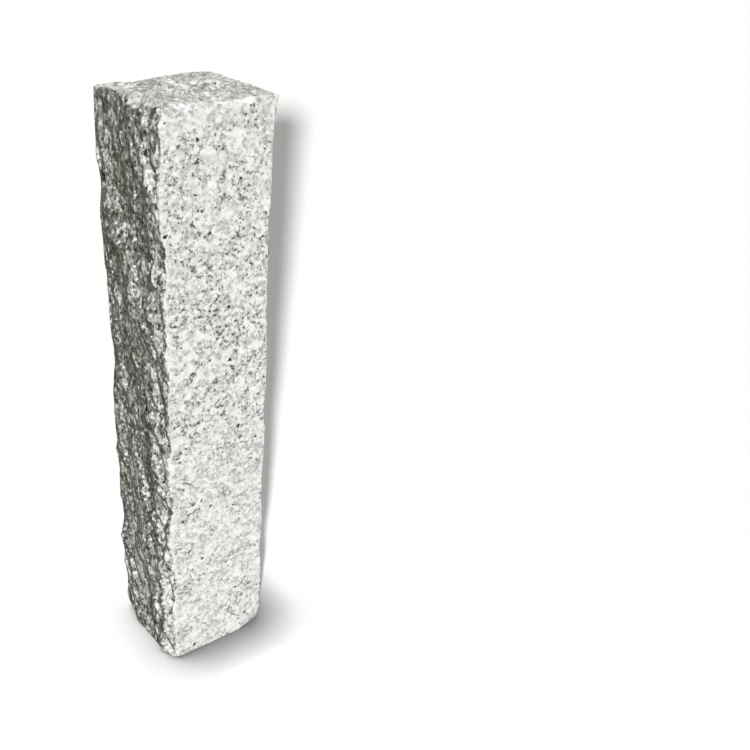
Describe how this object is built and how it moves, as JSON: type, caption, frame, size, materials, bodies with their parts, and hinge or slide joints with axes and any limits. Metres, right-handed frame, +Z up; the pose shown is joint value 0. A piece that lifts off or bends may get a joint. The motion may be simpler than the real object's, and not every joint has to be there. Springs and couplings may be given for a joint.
{
  "type": "granite palisade",
  "caption": "Upright square post of light grey split granite with hewn, chipped edges, set on end in the ground side by side to edge beds, paths, steps and low banks.",
  "frame": {"origin": "middle of the post's outline, on the plane that the foot stands on", "axes": "+Z up from the foot to the head; the finer front face looks along -Y and the rough left face along -X"},
  "size_m": [0.1064, 0.1016, 0.5],
  "materials": {
    "granite": "rough split"
  },
  "bodies": {
    "root": {"palisade": "granite"}
  },
  "joints": []
}
